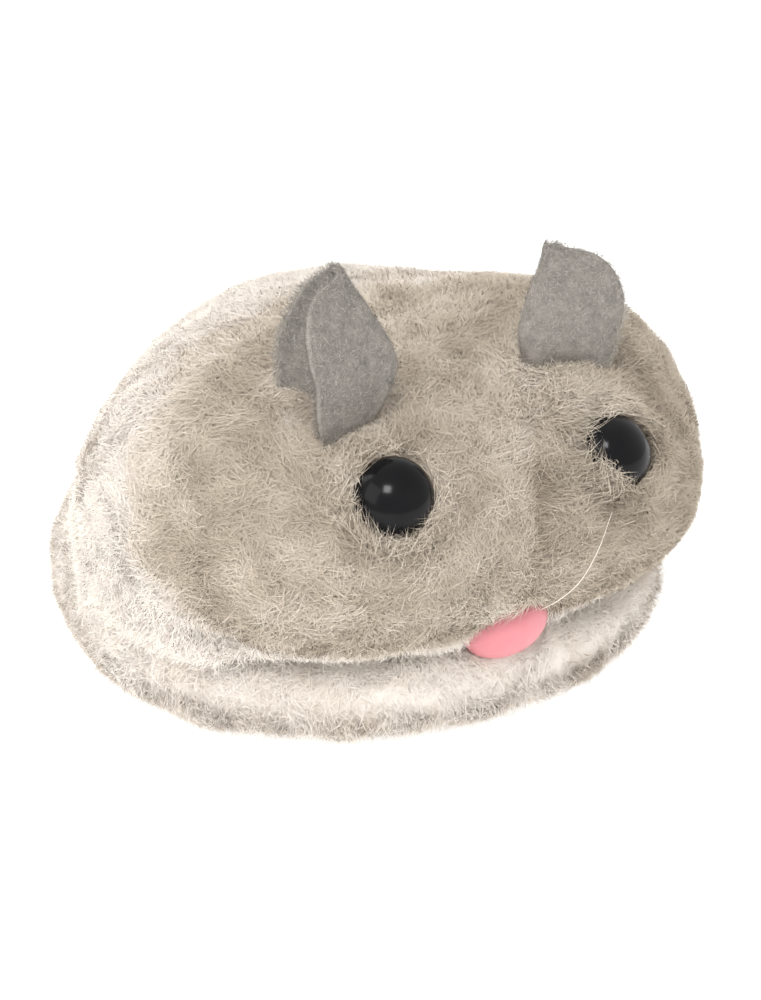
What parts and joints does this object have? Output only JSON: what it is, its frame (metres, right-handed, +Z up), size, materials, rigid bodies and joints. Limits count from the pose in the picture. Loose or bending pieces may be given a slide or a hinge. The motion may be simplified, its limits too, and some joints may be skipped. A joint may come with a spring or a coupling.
{
  "type": "clockwork mouse",
  "caption": "Plush mouse toy with felt ears, black dome eyes and a pink nose, driven along the floor by a wind-up spring motor under its plush body.",
  "frame": {"origin": "centre of the base plate's flat underside; the wheels stand 1.5 mm lower", "axes": "-Y towards the nose, +X towards the mouse's left (the key's side), +Z up"},
  "size_m": [0.0781, 0.0756, 0.0493],
  "materials": {
    "grey_plush": "short grey-beige pile",
    "white_plush": "ivory pile over stuffing",
    "ear_felt": "grey felt",
    "eye_plastic": "polished black dome",
    "nose_plastic": "glossy pink",
    "nylon": "clear pale filament",
    "shell_plastic": "moulded, satin",
    "plate_plastic": "moulded, fine grain",
    "washer_plastic": "moulded, satin",
    "wheel_plastic": "moulded, satin",
    "tyre_rubber": "matt black",
    "key_plastic": "moulded ivory",
    "steel": "brushed",
    "spring_steel": "blued",
    "brass": "machined"
  },
  "bodies": {
    "chassis": {"base_plate": "plate_plastic", "body_shell": "shell_plastic", "plush_cover": "grey_plush", "plush_skirt": "white_plush", "ear_left": "ear_felt", "ear_right": "ear_felt", "eye_left": "eye_plastic", "eye_right": "eye_plastic", "eye_washer_left": "washer_plastic", "eye_washer_right": "washer_plastic", "nose": "nose_plastic", "nose_washer": "washer_plastic", "whisker": "nylon", "motor_plate_left": "steel", "motor_plate_right": "steel", "motor_pillar_1": "steel", "motor_pillar_2": "steel", "motor_pillar_3": "steel", "motor_pillar_4": "steel", "mainspring": "spring_steel", "key_eyelet": "washer_plastic", "roller_pin": "steel", "shell_screw_1": "steel", "shell_screw_2": "steel", "shell_screw_3": "steel", "shell_screw_4": "steel", "motor_screw_1": "steel", "motor_screw_2": "steel", "motor_screw_3": "steel", "motor_screw_4": "steel"},
    "drive_axle": {"drive_axle": "steel", "axle_pinion": "brass", "drive_wheel_left": "wheel_plastic", "drive_wheel_right": "wheel_plastic", "tyre_left": "tyre_rubber", "tyre_right": "tyre_rubber"},
    "third_arbor": {"third_pinion": "steel", "third_wheel": "brass"},
    "second_arbor": {"second_pinion": "steel", "second_wheel": "brass"},
    "great_wheel": {"great_wheel": "brass", "click_pin": "steel", "click_spring": "spring_steel"},
    "click": {"click": "steel"},
    "winding_key": {"winding_arbor": "steel", "ratchet_wheel": "steel", "winding_key": "key_plastic"},
    "rear_roller": {"rear_roller": "wheel_plastic"}
  },
  "joints": [
    {"name": "drive_axle_spin", "type": "hinge", "parent": "chassis", "child": "drive_axle", "pos_m": [0, -0.008, 0.005], "axis": [1, 0, 0], "continuous": true},
    {"name": "third_arbor_turn", "type": "hinge", "parent": "chassis", "child": "third_arbor", "pos_m": [0, -0.00359, 0.01179], "axis": [1, 0, 0], "continuous": true},
    {"name": "second_arbor_turn", "type": "hinge", "parent": "chassis", "child": "second_arbor", "pos_m": [0, 0.00053, 0.0198], "axis": [1, 0, 0], "continuous": true},
    {"name": "great_wheel_turn", "type": "hinge", "parent": "chassis", "child": "great_wheel", "pos_m": [0, 0.0085, 0.0132], "axis": [1, 0, 0], "continuous": true},
    {"name": "winding_key_turn", "type": "hinge", "parent": "great_wheel", "child": "winding_key", "pos_m": [0, 0.0085, 0.0132], "axis": [1, 0, 0], "continuous": true},
    {"name": "click_rock", "type": "hinge", "parent": "great_wheel", "child": "click", "pos_m": [0, 0.01246, 0.01716], "axis": [1, 0, 0], "range_deg": [-10, 0], "stiffness_Nm_per_rad": 0.0002},
    {"name": "rear_roller_spin", "type": "hinge", "parent": "chassis", "child": "rear_roller", "pos_m": [0, 0.0163, 0.0025], "axis": [1, 0, 0], "continuous": true}
  ],
  "couplings": [
    {"joint": "third_arbor_turn", "follows": "drive_axle_spin", "ratio": -0.5},
    {"joint": "second_arbor_turn", "follows": "drive_axle_spin", "ratio": 0.16667},
    {"joint": "great_wheel_turn", "follows": "drive_axle_spin", "ratio": -0.046296}
  ]
}
